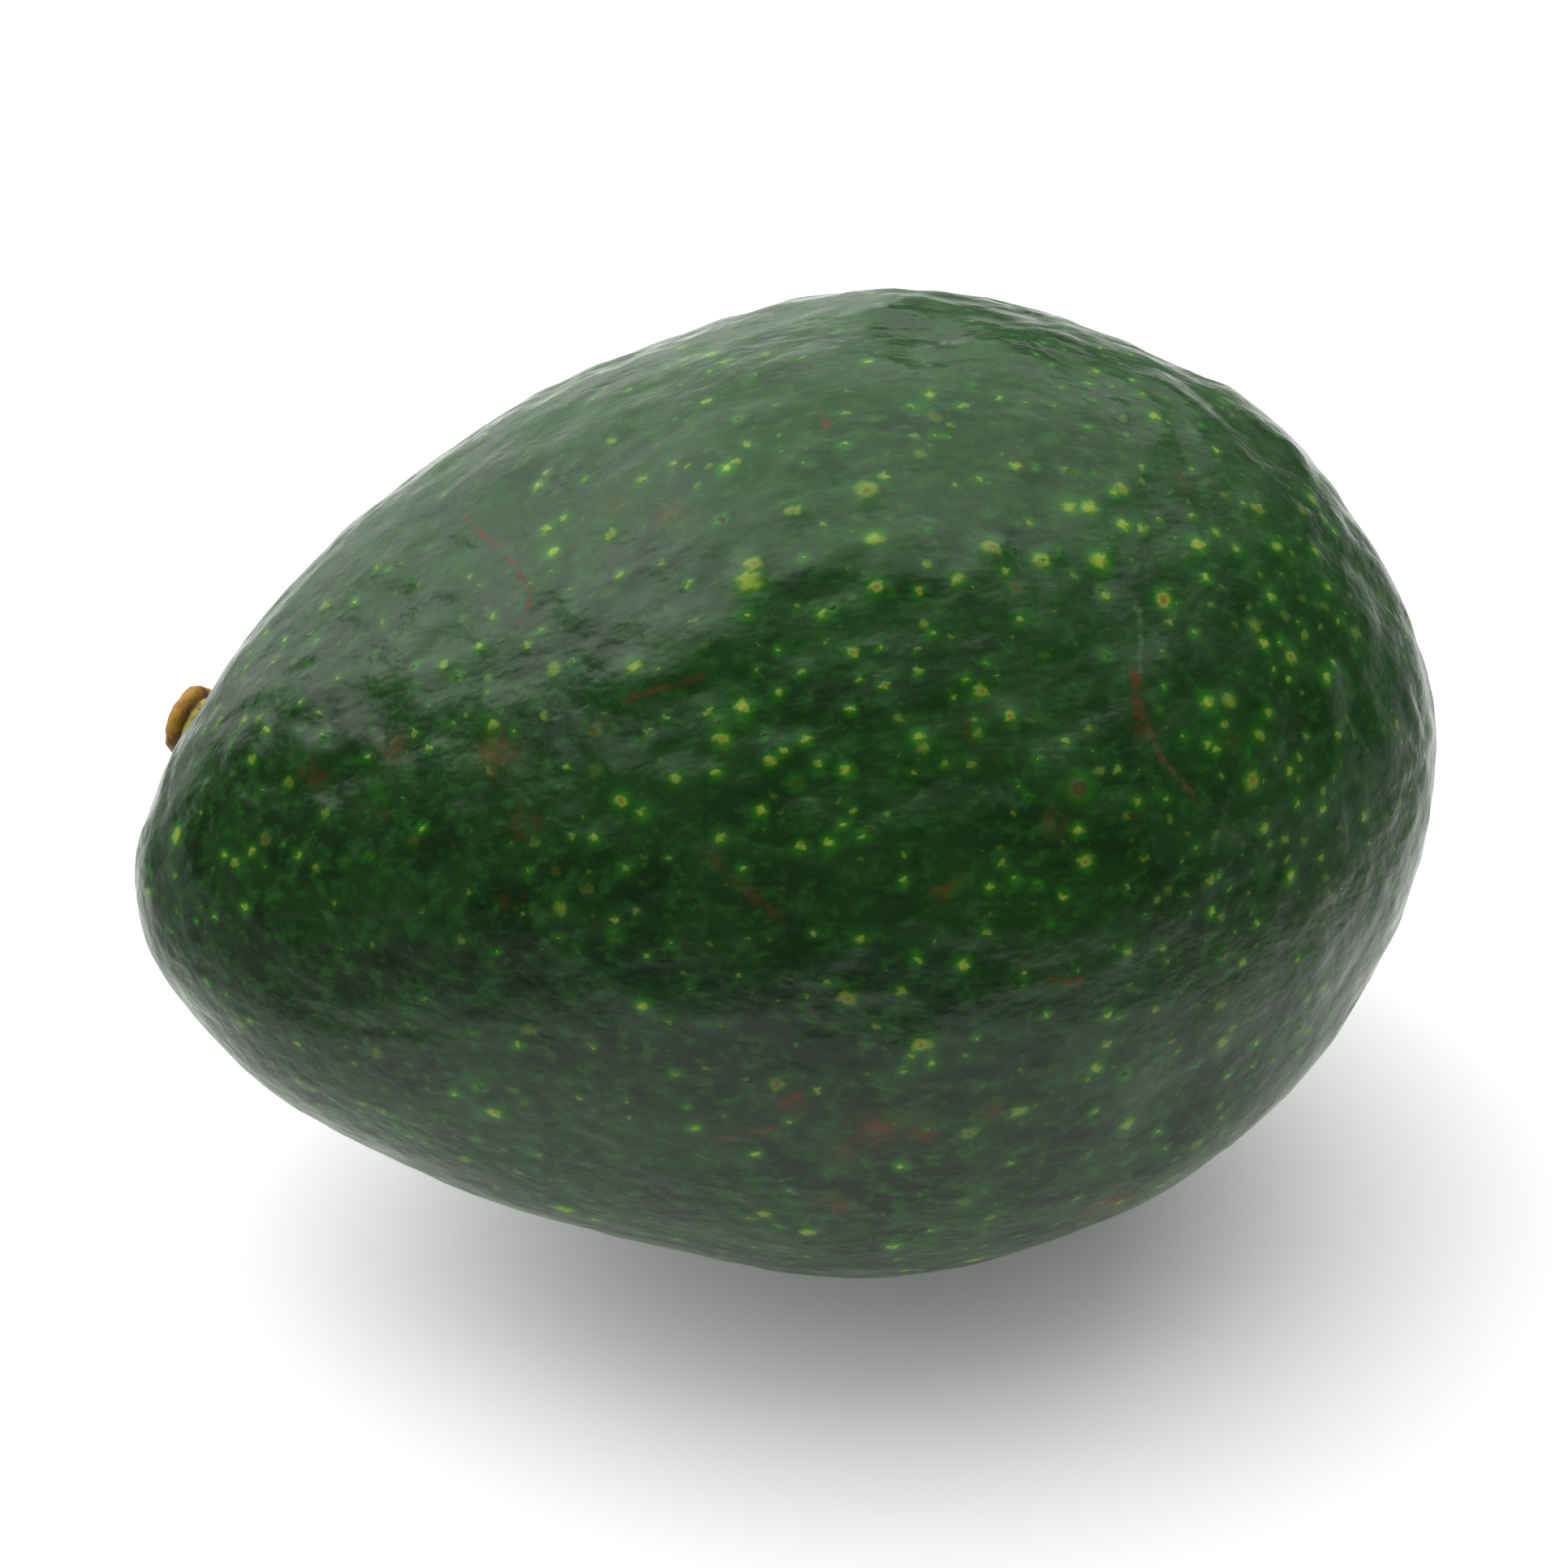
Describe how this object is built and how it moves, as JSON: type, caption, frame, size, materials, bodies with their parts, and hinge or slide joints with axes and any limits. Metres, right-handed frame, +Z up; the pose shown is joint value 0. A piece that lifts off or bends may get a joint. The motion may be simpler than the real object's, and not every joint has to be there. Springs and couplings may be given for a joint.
{
  "type": "avocado",
  "caption": "Whole green-skinned avocado lying on its side, narrow at the neck and broad at the blossom end, with a short dried stem stub.",
  "frame": {"origin": "on the surface the fruit lies on, under the middle of the bounding box", "axes": "+Z up, +X along the fruit's length from the stem end to the blossom end, -Y towards the side seen in the picture"},
  "size_m": [0.125, 0.0968, 0.0909],
  "materials": {
    "skin": "satin",
    "stem_wood": "matte"
  },
  "bodies": {
    "root": {"fruit": "skin", "stem": "stem_wood"}
  },
  "joints": []
}
